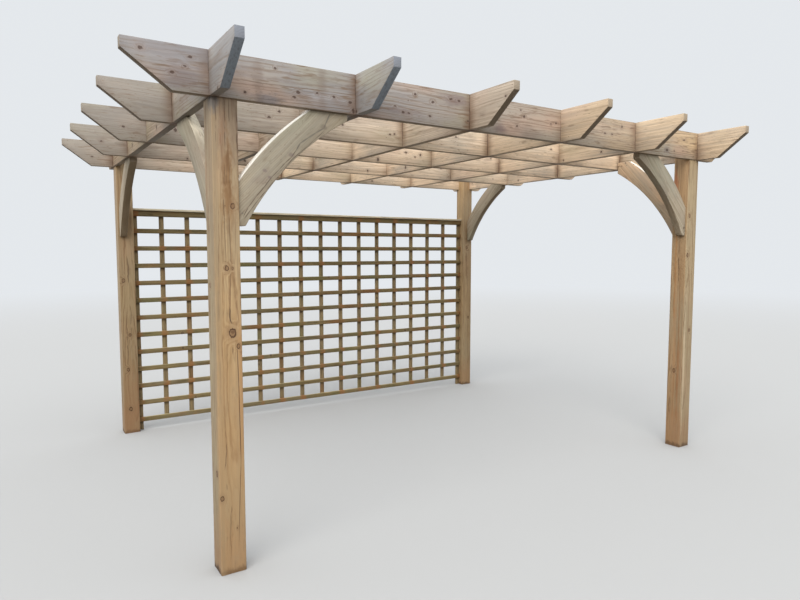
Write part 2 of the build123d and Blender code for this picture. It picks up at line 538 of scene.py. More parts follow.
def stain(place, size, colour, share, rough=1.3, soft=0.45, turn=(0.0, 0.0, 0.0), swaying=False):
    """A soft blot of a colour, from its middle and its half sizes."""

    def mark(log, base):
        away = log.away(place, size, turn, swaying) + (log.fray + log.ragged * 0.8) * rough
        return log.mix(log.step(away, 1.0 + soft, 1.0 - soft) * share, base, colour)

    return mark


def crack(start, end, width, share, colour=DARK_SPLIT, swaying=True):
    """A thin dark line from one point to another, which wanders along the grain if it is swaying."""
    line = Vector(end) - Vector(start)
    size = (line.length / 2, width, width)
    turn = line.to_track_quat("X", "Z").to_euler()
    return stain((Vector(start) + Vector(end)) / 2, size, colour, share, 0.5, 0.5, turn, swaying)


def fading(axis, start, end, colour, share):
    """A wash that grows from nothing at one place along an axis to its full share at another."""

    def grown(log):
        return log.step(log.split(log.place)[axis] + log.fray * 0.6, start, end) * share

    return Wash(colour, grown)


def painted_side_light(direction, colour, share):
    """A wash on the sides that face one way: painted light and shade, as light falls on that side."""

    def turned_that_way(log):
        return log.step(log.facing(direction) + log.fray * 0.3, 0.55, 0.85) * share

    return Wash(colour, turned_that_way)


print("marks ready:", "stain, crack, fading and side veil")

# %% Draw marks on a face
MM = 1000


class Face:
    """An upright face at one value of X or Y. Its marks reach a depth in millimetres into the wood."""

    def __init__(self, axis, value, depth=30):
        self.axis = axis
        self.value = value
        self.depth = depth

    def in_order(self, through, across, up):
        return (through, across, up) if self.axis == "x" else (across, through, up)

    def at(self, across, up):
        return self.in_order(self.value, across / MM, up / MM)

    def blot(self, across, up, half_wide, half_high, colour, share, rough, soft=0.45, depth=None):
        size = self.in_order((depth or self.depth) / MM, half_wide / MM, half_high / MM)
        return stain(self.at(across, up), size, colour, share, rough, soft)

    def blots(self, *rows):
        return [self.blot(*row) for row in rows]

    def splits(self, *rows):
        """Rows of both ends' across and up, half width, share and maybe colour and whether it sways."""
        return [crack(self.at(*row[:2]), self.at(*row[2:4]), row[4] / MM, *row[5:]) for row in rows]

    def knots(self, shape, *rows):
        """Rows of across, up and a size, which is multiplied by the three parts of a shape."""
        return [(self.at(across, up), [size * part / MM for part in shape]) for across, up, size in rows]


print("a face draws", "blots, splits and knots")

# %% [markdown]
# A machine leaves a sawn edge sharp, but a planed timber's arrises are eased, and rain and hands round them
# more. A bevel of two millimetres catches a thin line of light and makes a timber look solid. Each timber
# of the frame comes as loose triangles, so a copy is merged and its flat faces joined before the bevel
# modifier is applied. The copy then stands in for the timber. Each is cut from its own stretch of log: the
# seed says how far along that starts, and the pith runs a few centimetres off the timber's middle.

# %% Ease the arrises of a timber
ARRIS = 0.002
ARRIS_STEPS = 2
FLAT = math.radians(1)
EDGE = math.radians(32)
SAME_POINT = 0.00001


def select_only(piece):
    bpy.ops.object.select_all(action="DESELECT")
    piece.select_set(True)
    bpy.context.view_layer.objects.active = piece


def apply_modifier(piece, kind, **settings):
    """Adds a modifier, sets it and applies it."""
    modifier = piece.modifiers.new(kind.lower(), kind)
    for setting, value in settings.items():
        setattr(modifier, setting, value)
    select_only(piece)
    bpy.ops.object.modifier_apply(modifier=modifier.name)


def bevel(piece, width, steps, **settings):
    apply_modifier(
        piece, "BEVEL", width=width, segments=steps, limit_method="ANGLE", angle_limit=EDGE, **settings
    )


def own_copy(source, name):
    """A second object with a mesh of its own."""
    copy = bpy.data.objects.new(name, source.data.copy())
    bpy.context.scene.collection.objects.link(copy)
    copy.data.materials.clear()
    return copy


def eased(node, arris=ARRIS):
    """A copy of a timber with its arrises eased, standing in for it."""
    piece = own_copy(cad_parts[node], "eased_" + node)
    select_only(piece)
    bpy.ops.object.mode_set(mode="EDIT")
    bpy.ops.mesh.select_all(action="SELECT")
    bpy.ops.mesh.remove_doubles(threshold=SAME_POINT)
    bpy.ops.mesh.customdata_custom_splitnormals_clear()
    bpy.ops.mesh.dissolve_limited(angle_limit=FLAT)
    bpy.ops.object.mode_set(mode="OBJECT")
    bevel(piece, arris, ARRIS_STEPS, use_clamp_overlap=True)
    bpy.ops.object.shade_smooth_by_angle(angle=EDGE)
    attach(piece, "root")
    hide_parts(node)
    return piece


def middle(node):
    low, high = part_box(node)
    return (low + high) / 2


def dressed(node, pith_off, turn, seed, look, marks=(), branches=(), arris=ARRIS):
    """An eased timber with a finish of its own. The pith runs at an offset from its middle."""
    piece = eased(node, arris)
    pith = middle(node) + Vector(pith_off)
    finish = timber_finish("grain_" + node, pith, turn, seed, look, marks, branches)
    piece.data.materials.append(finish)
    return piece


print("one eased copy can stand in for each timber of the frame")

# %% [markdown]
# The four posts are the first to weather, and each has its own story. The front left one has a greyed head
# where rain runs off the beams, a brown streak below it, a pair of knots at shoulder height and a long split
# lower down. All four have drawn up damp at the foot, which dries to a dark line. Their sides also get tones
# by the way they face, which is painted light and shade: sky light from the left, and shade on the back
# posts.

# %% Tell the story of the front left post
BROWN_STREAK = paint(130, 97, 63)
ORANGE_STREAK = paint(164, 120, 76)
DARK_STREAK = paint(104, 74, 48)
RED_SPLIT = paint(116, 78, 60)
HEAD_GREY = paint(124, 108, 94)
DAMP_GREY = paint(98, 97, 99)
FOOT_RED = paint(166, 126, 92)
FOOT_DAMP = paint(72, 54, 44)
ROUND_KNOT = (1.0, 1.0, 1.35)
outer_corner, inner_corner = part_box("post_front_left")
front = Face("y", outer_corner.y)
left = Face("x", outer_corner.x)


def foot_marks(node, damp=0.6):
    """Reddish wood near the ground and a dark line where the end grain drinks."""
    x, y, _ = middle(node)
    return [
        stain((x, y, 0.04), (0.16, 0.16, 0.20), FOOT_RED, 0.45, 1.6, 0.7),
        stain((x, y, 0.0), (0.20, 0.20, 0.026), FOOT_DAMP, damp, 2.0, 0.5),
    ]


front_left_marks = [
    *foot_marks("post_front_left", 0.9),
    # Painted light: the left face greyer and paler, for cool sky light from the left.
    painted_side_light(LEFT, paint(138, 132, 116), 0.55),
    fading(2, 1.1, 2.2, HEAD_GREY, 0.35),
    *front.blots(
        (-1832, 2260, 88, 280, HEAD_GREY, 0.60, 1.3, 0.5),
        (-1906, 1200, 16, 1600, paint(152, 134, 108), 0.60, 1.4, 0.6, 20),
        (-1902, 2305, 28, 75, DAMP_GREY, 0.75, 1.6, 0.45, 50),
        (-1846, 1930, 24, 160, BROWN_STREAK, 0.70, 3.2, 0.8),
        (-1868, 2120, 14, 100, paint(150, 118, 92), 0.40, 2.6, 0.7),
    ),
    *front.splits(
        (-1838, 1800, -1842, 2060, 1.6, 0.80, BROWN_STREAK),
        (-1823, 1840, -1827, 2020, 1.6, 0.70, BROWN_STREAK),
        (-1852, 1840, -1850, 1980, 1.4, 0.45),
        (-1873, 2060, -1876, 2290, 1.4, 0.70, RED_SPLIT),
        (-1814, 2100, -1818, 2290, 1.4, 0.70, RED_SPLIT),
    ),
    *front.blots(
        (-1842, 2020, 6, 50, DARK_STREAK, 0.55, 3.0, 0.8),
        (-1834, 1880, 5, 60, DARK_STREAK, 0.50, 3.0, 0.8),
        (-1852, 1910, 7, 30, paint(112, 82, 54), 0.50, 3.0, 0.8),
        (-1826, 1790, 30, 100, BROWN_STREAK, 0.40, 2.4, 0.7),
        (-1798, 820, 14, 340, ORANGE_STREAK, 0.55, 1.8),
        (-1852, 500, 200, 700, paint(190, 152, 108), 0.45, 1.6, 0.8),
    ),
    *front.splits(
        (-1895, 2100, -1895, 2290, 2.6, 0.60),
        (-1853, 2040, -1853, 2290, 2.6, 0.70),
        (-1833, 2120, -1833, 2290, 2.6, 0.60),
        (-1796, 2020, -1797, 2270, 2.5, 0.80),
        (-1864, 1740, -1860, 2000, 2, 0.60),
        (-1836, 1880, -1832, 2070, 1.6, 0.45),
        (-1861, 1520, -1865, 1790, 1.7, 0.65, DARK_SPLIT, False),
        (-1837, 1520, -1842, 1780, 1.7, 0.65, DARK_SPLIT, False),
        (-1815, 1550, -1811, 1770, 1.4, 0.45, DARK_SPLIT, False),
        (-1849, 1235, -1841, 1475, 1.8, 0.65, DARK_SPLIT, False),
        (-1878, 1580, -1877, 1740, 1.4, 0.40, DARK_SPLIT, False),
        (-1852, 1360, -1840, 1220, 3, 0.90),
        (-1838, 1230, -1833, 1050, 2.6, 0.70),
    ),
    *front.blots((-1834, 1198, 11, 9, paint(66, 44, 34), 0.85, 1.6, 0.3, 20)),
    *front.splits(
        (-1852, 1190, -1846, 1140, 2.6, 0.70),
        (-1811, 900, -1815, 1130, 2.4, 0.80, DARK_SPLIT, False),
        (-1808, 560, -1811, 920, 2.4, 0.80, DARK_SPLIT, False),
        (-1826, 160, -1808, 580, 2, 0.65, DARK_SPLIT, False),
        (-1880, 350, -1884, 800, 2.6, 0.50),
        (-1868, 100, -1862, 420, 2.6, 0.45),
    ),
    *left.splits((-1362, 1720, -1358, 1950, 2.2, 0.70), (-1400, 600, -1395, 1050, 2.6, 0.50)),
]
front_left_knots = front.knots(
    ROUND_KNOT,
    (-1857, 1504, 8.5), (-1829, 1503, 4.5), (-1823, 1797, 9.5),
    (-1836, 1193, 16), (-1809, 1127, 8), (-1903, 388, 9),
) + left.knots(ROUND_KNOT, (-1429, 501, 12), (-1385, 1420, 9))
print("marks on the front left post:", len(front_left_marks))

# %% Tell the stories of the other posts
inside = Face("x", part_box("post_front_right")[0].x)
back = Face("y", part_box("post_back_left")[0].y)
front_right_marks = [
    *foot_marks("post_front_right"),
    # Painted light and shade: the inner and front faces each get a tone by the way they face.
    painted_side_light(LEFT, paint(148, 114, 84), 0.5),
    painted_side_light(FRONT, paint(156, 144, 120), 0.5),
    *inside.blots(
        (-1360, 2080, 20, 130, paint(160, 96, 66), 0.60, 2.0, 0.6),
        (-1385, 1450, 8, 400, ORANGE_STREAK, 0.60, 2.0),
        (-1430, 900, 7, 600, BROWN_STREAK, 0.50, 2.0),
        (-1436, 500, 9, 450, paint(158, 110, 74), 0.45, 2.2, 0.7),
        (-1400, 700, 10, 600, paint(164, 122, 84), 0.45, 2.2, 0.7),
    ),
    *front.blots(
        (1813, 660, 11, 460, paint(212, 192, 162), 0.55, 1.4, 0.6, 20),
        (1852, 1100, 7, 600, paint(140, 112, 86), 0.45, 2.0, 0.7, 20),
    ),
    *inside.splits((-1415, 1250, -1412, 1680, 2.5, 0.80), (-1378, 200, -1381, 850, 2, 0.60)),
    *front.splits((1830, 1350, 1832, 1620, 2.2, 0.60)),
]
front_right_knots = front.knots(
    ROUND_KNOT, (1822, 1860, 10), (1815, 1550, 12), (1870, 950, 9)
) + inside.knots(ROUND_KNOT, (-1402, 620, 12))
back_left_marks = [
    *foot_marks("post_back_left"),
    # Painted shade on the front face, which stands in shade at the back, and painted light on the left face.
    painted_side_light(FRONT, paint(132, 112, 84), 0.5),
    painted_side_light(LEFT, paint(140, 127, 110), 0.6),
    *back.blots((-1853, 250, 100, 300, paint(156, 118, 86), 0.50, 1.6, 0.7)),
    *back.splits(
        (-1845, 1300, -1847, 1520, 4, 0.80),
        (-1870, 650, -1868, 1050, 3, 0.60),
        (-1835, 750, -1838, 1150, 3, 0.50),
    ),
]
back_left_knots = back.knots(
    ROUND_KNOT, (-1861, 212, 13), (-1872, 560, 11), (-1848, 860, 10), (-1885, 1330, 12)
)
back_right_marks = [
    *foot_marks("post_back_right"),
    # Painted shade on the front face, which stands in shade at the back.
    painted_side_light(FRONT, paint(138, 116, 88), 0.45),
    *back.splits((1865, 1000, 1862, 1500, 3, 0.60)),
]
back_right_knots = back.knots(ROUND_KNOT, (1845, 1620, 12), (1875, 800, 11))
print("marks on the other posts:", len(front_right_marks + back_left_marks + back_right_marks))

# %% Finish the posts
POST_STORIES = {
    "post_front_left": (front_left_marks, front_left_knots),
    "post_front_right": (front_right_marks, front_right_knots),
    "post_back_left": (back_left_marks, back_left_knots),
    "post_back_right": (back_right_marks, back_right_knots),
}
for number, (node, story) in enumerate(POST_STORIES.items()):
    pith_off = (0.022 * (-1) ** number, 0.035, 0)
    post = dressed(node, pith_off, GRAIN["z"], 11.3 * number + 3.0, POST_LOOK, *story)
print("posts finished:", len(POST_STORIES))

# %% [markdown]
# The roof is two layers of equal beams let into each other. Their sides are greyer at the near left, where
# the weather comes from, and warmer to the right. The beams inside the grid get paler, warmer tones than the
# front one: painted light, for the sky light that falls on them through the open roof. Beside each joint a
# brown band is partly a damp stain, where rain is held between the two timbers, and partly painted shade in
# the inner corner, with a crisp dark line where they meet. Small dark knots sit every hand's breadth.
# The tails are cut at a slant through the end grain, and those slants have turned the darkest.

# %% Draw the joints of the beams
BEAM_GREY = paint(146, 140, 134)
NEAR_GREY = paint(141, 141, 146)
BEAM_WARM = paint(214, 184, 144)
# A pale warm wash for the beams inside the grid: painted light, for sky light through the open roof.
INNER_WARM_PAINTED_LIGHT = paint(242, 218, 190)
TAIL_TAN = paint(206, 182, 152)
PURPLE = paint(118, 100, 100)
BROWN_BAND = paint(118, 100, 90)
# Paler tones for the beams inside the grid: painted light, for sky light through the open roof.
INNER_LOOK_PAINTED_LIGHT = (
    BEAM_LOOK
    | tones(pale=(236, 216, 192), deep=(198, 174, 148))
    | dict(tinted=0.35, ring=0.48, lines=0.25, dashes=0.50, specks=0.75)
)
LONG_BEAMS, CROSS_BEAMS = 5, 6
first_long = middle("long_beam_1").y
first_cross = middle("cross_beam_1").x
long_pitch = (middle("long_beam_5").y - first_long) / (LONG_BEAMS - 1)
cross_pitch = (middle("cross_beam_6").x - first_cross) / (CROSS_BEAMS - 1)
beam_low, beam_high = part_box("long_beam_1")
half_thick = (beam_high.y - beam_low.y) / 2


def joint_bands(axis, first, pitch, reach, colour, share, wander):
    """A band on both sides of every timber that crosses at an even pitch."""

    def mark(log, base):
        steps = (log.split(log.place)[axis] - first) / pitch + 0.5
        beside = abs((steps.maths("FRACT") - 0.5) * pitch) + log.fray * wander
        strength = log.step(log.noise(log.place, 1.0, 2.3), -0.25, 0.2) * share
        return log.mix(log.step(beside, half_thick + reach, half_thick - 0.006) * strength, base, colour)

    return mark


def joints(axis, first, pitch):
    """A broad brown band beside every joint, partly damp stain and partly painted shade in the inner corner,
    and a crisp dark line at it.
    """
    broad = joint_bands(axis, first, pitch, 0.070, paint(116, 88, 66), 0.75, 0.03)
    return [broad, joint_bands(axis, first, pitch, 0.009, DARK_SPLIT, 0.9, 0.004)]


print("joints every", round(cross_pitch, 3), "m along and", round(long_pitch, 3), "m across")

# %% Finish the beams along the front
FLAT_KNOT = (1.1, 0.7, 0.7)
FACE_KNOTS = [
    [
        (-2085, 2374, 8), (-2028, 2409, 7), (-2005, 2451, 9), (-1486, 2367, 10), (-1507, 2341, 8),
        (-1288, 2369, 8), (-1196, 2355, 9), (-1383, 2376, 7), (-1755, 2332, 8), (-920, 2369, 6),
        (-868, 2343, 9), (-829, 2342, 8), (-687, 2342, 8), (-667, 2422, 9), (-540, 2454, 9),
        (-482, 2451, 8), (-414, 2344, 7), (-27, 2356, 9), (268, 2400, 6), (313, 2411, 7), (792, 2395, 7),
        (865, 2395, 8), (969, 2454, 8), (1494, 2339, 12), (-2215, 2458, 10),
    ],
    [(-1360, 2389, 9), (-1295, 2429, 8), (-503, 2370, 8), (60, 2407, 8), (1027, 2401, 8)],
    [(102, 2395, 10), (192, 2365, 7), (-2060, 2380, 9)],
    [(374, 2348, 8), (1555, 2470, 8), (-2100, 2390, 8)],
    [(1295, 2400, 9), (1676, 2412, 6), (-2080, 2370, 8), (619, 2327, 10)],
]
front_beam_blots = Face("y", beam_low.y, 20).blots(
    (-510, 2452, 80, 30, PURPLE, 0.55, 2.0, 0.7),
    (-166, 2330, 45, 24, PURPLE, 0.60, 2.0, 0.7),
    (-1642, 2314, 60, 28, paint(112, 112, 118), 0.60, 2.0, 0.7),
    (-870, 2345, 110, 18, PURPLE, 0.40, 2.0, 0.7),
    (-2040, 2360, 70, 55, PURPLE, 0.35, 2.0, 0.8),
    (-1690, 2400, 22, 140, BROWN_BAND, 0.40, 2.4, 0.8),
    (-1355, 2400, 20, 140, BROWN_BAND, 0.38, 2.4, 0.8),
    (1494, 2340, 30, 22, paint(140, 134, 128), 0.60, 1.4, 0.6),
    (-2050, 2470, 250, 45, paint(140, 136, 138), 0.55, 1.8, 0.8),
)
for number, knots in enumerate(FACE_KNOTS, start=1):
    node = f"long_beam_{number}"
    # Inner beams get the paler look and a warm wash, both painted light; the front beam keeps its own tones.
    look, warm_and_painted_light, own = INNER_LOOK_PAINTED_LIGHT, INNER_WARM_PAINTED_LIGHT, []
    greyed = fading(0, 0.9 - number * 0.25, -1.9 - number * 0.15, BEAM_GREY, 0.95)
    if number == 1:
        look, warm_and_painted_light, own = BEAM_LOOK, BEAM_WARM, front_beam_blots
        greyed = fading(0, 1.3, -1.6, NEAR_GREY, 0.85)
    marks = [greyed, fading(0, 0.2, 2.6, warm_and_painted_light, 0.8)] + joints(0, first_cross, cross_pitch) + own
    branches = Face("y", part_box(node)[0].y).knots(FLAT_KNOT, *knots)
    pith_off = (0, 0.065 - 0.03 * (number % 2), 0.05 * math.sin(2.4 * number))
    beam = dressed(node, pith_off, GRAIN["x"], 7.7 * number + 1.0, look, marks, branches)
print("beams finished along the front:", len(FACE_KNOTS))

# %% Finish the beams across
NEAR_BEAMS = 2
CROSS_FADES = [(NEAR_GREY, 0.90)] * NEAR_BEAMS + [(BEAM_GREY, 0.50)] + [(TAIL_TAN, 0.70)] * 3
NEAR_LOOK = BEAM_LOOK | tones(slant=(138, 150, 164), soffit=(88, 80, 70), end=(124, 132, 146))
tail_end = (first_cross - half_thick, -1.75, 2.42)
tail_stain = stain(tail_end, (2.0, 0.32, 0.5), paint(168, 168, 168), 0.3, soft=0.4)
for number, (grey, share) in enumerate(CROSS_FADES, start=1):
    # Inner cross beams get the paler look and a warm wash towards the back, both painted light.
    look, own = INNER_LOOK_PAINTED_LIGHT, fading(1, -1.2, 1.0, INNER_WARM_PAINTED_LIGHT, 0.60)
    if number <= NEAR_BEAMS:
        look, own = NEAR_LOOK, tail_stain
    marks = [fading(1, 0.4, -1.9, grey, share), *joints(1, first_long, long_pitch), own]
    pith_off = (0.06 - 0.02 * (number % 2), 0, 0.05 * math.sin(1.7 * number + 1))
    beam = dressed(f"cross_beam_{number}", pith_off, GRAIN["y"], 9.1 * number + 60.0, look, marks)
print("beams finished across:", len(CROSS_FADES))

# %% [markdown]
# The braces are sawn to a curve from wide boards, so their grain runs straight from foot to head while the
# edges bend across it. They are a little greener and greyer than the beams, and their arrises are rounded
# more. The near one has two long splits beside its inner edge, drawn as chains of short straight ones. Its
# outer arris, which faces the sky, has a painted highlight: a thin pale line, found by distance from the
# arc's middle. Their upward sides get a painted highlight too, and some sides are tinted as light falls on
# them.

# %% Finish the braces
LEAN, QUARTER_TURN = -math.pi / 4, math.pi / 2
BRACE_TURNS = {
    "brace_front_left": (0.0, LEAN, 0.0),
    "brace_front_right": (0.0, 3 * LEAN, 0.0),
    "brace_left_front": (0.0, LEAN, QUARTER_TURN),
    "brace_left_back": (0.0, LEAN, -QUARTER_TURN),
    "brace_right_front": (0.0, LEAN, QUARTER_TURN),
    "brace_right_back": (0.0, LEAN, -QUARTER_TURN),
}
BRACE_ARRIS = 0.004
BRACE_PITH = (0.05, 0.06, 0.02)
EDGE_HIGHLIGHT = paint(246, 242, 234)
HEAD_TAN = paint(150, 142, 126)
EDGE_HIGHLIGHT_FROM, EDGE_HIGHLIGHT_TO = 0.007, 0.003
ARC_MIDDLE, OUTER_RADIUS = 1.268, 1.551
OUTER_SPLIT = [
    (-1767, 1751), (-1743, 1795), (-1703, 1847), (-1663, 1893), (-1622, 1946), (-1581, 1987),
    (-1549, 2021), (-1518, 2049), (-1489, 2090), (-1468, 2124), (-1425, 2154), (-1381, 2184),
    (-1337, 2211), (-1328, 2232), (-1303, 2284),
]
WIDE_FROM = 8
INNER_SPLIT = [
    (-1761, 1742), (-1731, 1783), (-1690, 1835), (-1650, 1881), (-1609, 1928), (-1574, 1962),
    (-1539, 2009), (-1511, 2043), (-1468, 2079), (-1425, 2115), (-1396, 2143), (-1337, 2195),
]
brace_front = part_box("brace_front_left")[0].y
near_side = Face("y", brace_front, 20)
right_side = Face("x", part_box("brace_right_front")[0].x, 10)


def chain(path, half_width, share, colour=DARK_SPLIT):
    """A long split along a path, as rows for a face."""
    return [(*start, *end, half_width, share, colour, False) for start, end in zip(path, path[1:])]


def painted_edge_highlight(axis, post_side):
    """A painted highlight: a thin pale line at the outer radius of a brace. The arc's middle is off the post
    and below the beam.
    """

    def mark(log, base):
        place = log.split(log.place)
        along = place[axis] - (post_side + ARC_MIDDLE)
        away = log.length(along, place[2] - (beam_low.z - ARC_MIDDLE))
        edge = log.step(away, OUTER_RADIUS - EDGE_HIGHLIGHT_FROM, OUTER_RADIUS - EDGE_HIGHLIGHT_TO)
        return log.mix(edge * 0.9, base, EDGE_HIGHLIGHT)

    return mark


BRACE_MARKS = {
    "brace_front_left": [
        *near_side.splits(*chain(OUTER_SPLIT, 2.2, 0.70), *chain(INNER_SPLIT, 2.2, 0.70)),
        *near_side.splits(*chain(OUTER_SPLIT[WIDE_FROM:], 4.0, 0.75, paint(96, 90, 86))),
        # Painted highlight along the outer arris, for sky light on the edge.
        painted_edge_highlight(0, inner_corner.x),
        *near_side.blots(
            (-1518, 2062, 16, 12, PURPLE, 0.5, 1.2),
            (-1337, 2216, 18, 12, paint(104, 92, 84), 0.6, 1.2),
            (-1655, 1975, 10, 8, PURPLE, 0.5, 1.2),
            (-1632, 1945, 8, 7, PURPLE, 0.5, 1.2),
            (-1274, 2216, 5, 4, DARK_SPLIT, 0.7, 0.8),
        ),
        stain((-1.40, brace_front, 2.18), (0.12, 0.02, 0.05), HEAD_TAN, 0.5, 1.8, 0.7, (0, -0.8, 0)),
    ],
    # Painted light and shade: these faces are tinted by the way they face.
    "brace_left_front": [painted_side_light(LEFT, paint(146, 140, 124), 0.55)],
    "brace_left_back": [painted_side_light(FRONT, paint(112, 92, 68), 0.8)],
    "brace_right_front": [
        # Painted light on the left face.
        painted_side_light(LEFT, paint(206, 172, 138), 0.75),
        # Painted highlight along the outer arris, for sky light on the edge.
        painted_edge_highlight(1, inner_corner.y),
        *right_side.blots(
            (-766, 2320, 7, 7, DARK_SPLIT, 0.75, 0.8),
            (-798, 2321, 6, 6, DARK_SPLIT, 0.65, 0.8),
            (-836, 2345, 8, 8, DARK_SPLIT, 0.65, 0.8),
            (-882, 2350, 6, 6, DARK_SPLIT, 0.65, 0.8),
            (-920, 2341, 8, 8, DARK_SPLIT, 0.75, 0.8),
        ),
    ],
    "brace_front_right": [
        stain((1.772, brace_front, 1.765), (0.007, 0.01, 0.009), DARK_SPLIT, 0.8, 0.8),
        stain((1.60, -1.43, 2.15), (0.25, 0.06, 0.12), paint(146, 146, 132), 0.5, 2.6, 0.8),
    ],
}
for number, (node, turn) in enumerate(BRACE_TURNS.items()):
    # Every brace gets a painted highlight on its upward sides and upper arrises, for sky light from above.
    marks = BRACE_MARKS.get(node, []) + [painted_side_light(UP, paint(226, 216, 194), 0.8)]
    brace = dressed(node, BRACE_PITH, turn, 5.3 * number + 120.0, BRACE_LOOK, marks, arris=BRACE_ARRIS)
print("braces finished:", len(BRACE_TURNS))

# %% [markdown]
# The trellis is a square grid of thin laths. On the real one, long rails are nailed in front of short
# uprights, so each crossing has two layers and the rails throw a shadow on the uprights. One rail and one
# upright are modelled from a block with rounded arrises, and the others are copies at an even pitch, as a
# joiner would cut a stack of equal laths. The wider top rail is modelled by itself.

# %% Nail up the trellis
LATH_WIDTH = 0.040
TOP_RAIL_WIDTH = 0.050
LATH_ARRIS = 0.0035
LATH_STEPS = 3
RAILS = 13
BAYS = 16
lattice_low, lattice_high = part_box("trellis_lattice")
rail_length, _, upright_length = lattice_high - lattice_low
lath_thick = (lattice_high.y - lattice_low.y) / 2
top_rail_middle = lattice_high.z - TOP_RAIL_WIDTH / 2
rail_pitch = (top_rail_middle - lattice_low.z - LATH_WIDTH / 2) / (RAILS - 1)
upright_pitch = (rail_length - LATH_WIDTH) / BAYS
first_upright = lattice_low.x + LATH_WIDTH / 2 + upright_pitch
rail_depth = lattice_low.y + lath_thick / 2
upright_depth = lattice_high.y - lath_thick / 2


def settle(piece):
    """Moves a piece's turn, size and place into its mesh."""
    select_only(piece)
    bpy.ops.object.transform_apply(location=True, rotation=True, scale=True)


def lath(name, place, size, arris=LATH_ARRIS):
    """A board with rounded arrises, from its middle and its three sizes."""
    bpy.ops.object.select_all(action="DESELECT")
    bpy.ops.mesh.primitive_cube_add(size=1, location=place)
    piece = bpy.context.object
    piece.name = name
    piece.scale = size
    settle(piece)
    bevel(piece, arris, LATH_STEPS)
    bpy.ops.object.shade_smooth_by_angle(angle=EDGE)
    return piece


def laid_out(source, names, pitch):
    """A lath and its copies at an even pitch, one for each name."""
    row = [source]
    for step, name in enumerate(names, start=1):
        copy = own_copy(source, name)
        copy.location = Vector(pitch) * step
        settle(copy)
        row.append(copy)
    return row


top_place = (0, rail_depth, top_rail_middle)
second_place = (0, rail_depth, top_rail_middle - rail_pitch)
top_rail = lath("trellis_rail_1", top_place, (rail_length, lath_thick, TOP_RAIL_WIDTH))
second_rail = lath("trellis_rail_2", second_place, (rail_length, lath_thick, LATH_WIDTH))
rail_names = [f"trellis_rail_{row}" for row in range(3, RAILS + 1)]
rails = [top_rail] + laid_out(second_rail, rail_names, (0, 0, -rail_pitch))
upright_place = (first_upright, upright_depth, (lattice_low.z + lattice_high.z) / 2)
upright = lath("trellis_upright_1", upright_place, (LATH_WIDTH, lath_thick, upright_length))
upright_names = [f"trellis_upright_{number}" for number in range(2, BAYS)]
uprights = laid_out(upright, upright_names, (upright_pitch, 0, 0))
for piece in rails + uprights:
    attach(piece, "root")
    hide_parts("trellis_lattice")
print("rails:", len(rails), "uprights:", len(uprights))

# %% Add the stiles and the cap
stiles = [eased("trellis_left_stile"), eased("trellis_right_stile")]
cap_low, cap_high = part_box("trellis_cap_rail")
cap = lath("eased_trellis_cap_rail", (cap_low + cap_high) / 2, cap_high - cap_low, ARRIS)
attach(cap, "root")
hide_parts("trellis_cap_rail")
print("stiles and cap are in place")

# %% [markdown]
# Trellis is sold dipped in green preservative, which weathers to olive brown. All rails share one finish and
# all uprights another: the row number is worked out from the height and shifts the grain, so that no two
# laths look alike. Rust from the nails has left orange patches at many crossings. The uprights are dark just
# under each rail, partly a stain where water drips and partly painted shadow of the rail in front, and the
# rails' tops get a painted highlight.

# %% Finish the trellis
LATH_LOOK = POST_LOOK | tones(
    pale=(140, 122, 84), deep=(96, 83, 53), grey=(118, 110, 90), blush=(134, 92, 54), tinge=(110, 108, 66),
    line=(60, 50, 32), knot=(66, 48, 32), check=(46, 36, 26), soffit=(78, 66, 44), end=(92, 82, 60),
) | dict(
    greyed=0.0, tinted=0.85, spacing=0.008, knots=0.35, checks=0.0, lines=0.5, dashes=0.5, ring=0.2
)
UPRIGHT_LOOK = LATH_LOOK | tones(
    pale=(158, 138, 102), deep=(114, 98, 70), blush=(132, 98, 64), grey=(132, 120, 96)
)
CAP_LOOK = BEAM_LOOK | tones(
    pale=(240, 232, 208), deep=(214, 202, 170), grey=(206, 204, 190), soffit=(120, 112, 84)
) | dict(dashes=0.3, knots=0.3)
RUST = paint(142, 100, 60)
# Dark brown for just under each rail: drip stain and painted shadow.
DRIP_AND_SHADOW = paint(66, 52, 36)
CAP_PITH = Vector((0, 0.03, 0.04))
BETWEEN_LATHS = 2.37
LATH_SEED, CAP_SEED = 200.0, 90.0


def from_middle(place, first, pitch):
    """Number of the nearest lath and the distance from its middle."""
    number = ((place - first) / pitch).maths("ROUND")
    return number, place - number * pitch - first


def lath_finish(name, axis, look, marks):
    """A finish for all laths along one axis, each cut from a place of its own in the log."""
    finish = Finish(name)
    x, y, z = finish.split(finish.object_place())
    if axis == "x":
        number, sideways = from_middle(z, top_rail_middle, -rail_pitch)
        along, depth, direction = x, y - rail_depth, (1, 0, 0)
    else:
        number, sideways = from_middle(x, first_upright, upright_pitch)
        along, depth, direction = z, y - upright_depth, (0, 0, 1)
    luck = finish.node("TexWhiteNoise", {"noise_dimensions": "1D"}, {"W": number + 0.5}, ("Value",))
    across, upward = depth + 0.015 + luck * 0.03, sideways + luck * 0.05 - 0.025
    log = Log(finish, finish.vector(along + number * BETWEEN_LATHS, across, upward), LATH_SEED)
    return finish_log(log, direction, look, marks)


def rusty_crossings(axis, first, pitch, share):
    """Orange patches at most crossings with the laths of the other layer."""

    def mark(log, base):
        away = from_middle(log.split(log.place)[axis], first, pitch)[1]
        near = log.step(abs(away) + log.fray * 0.04, 0.045, 0.010)
        luck = log.step(log.noise(log.place, 1.0, 5.1), -0.12, 0.14)
        return log.mix(near * luck * share, base, RUST)

    return mark


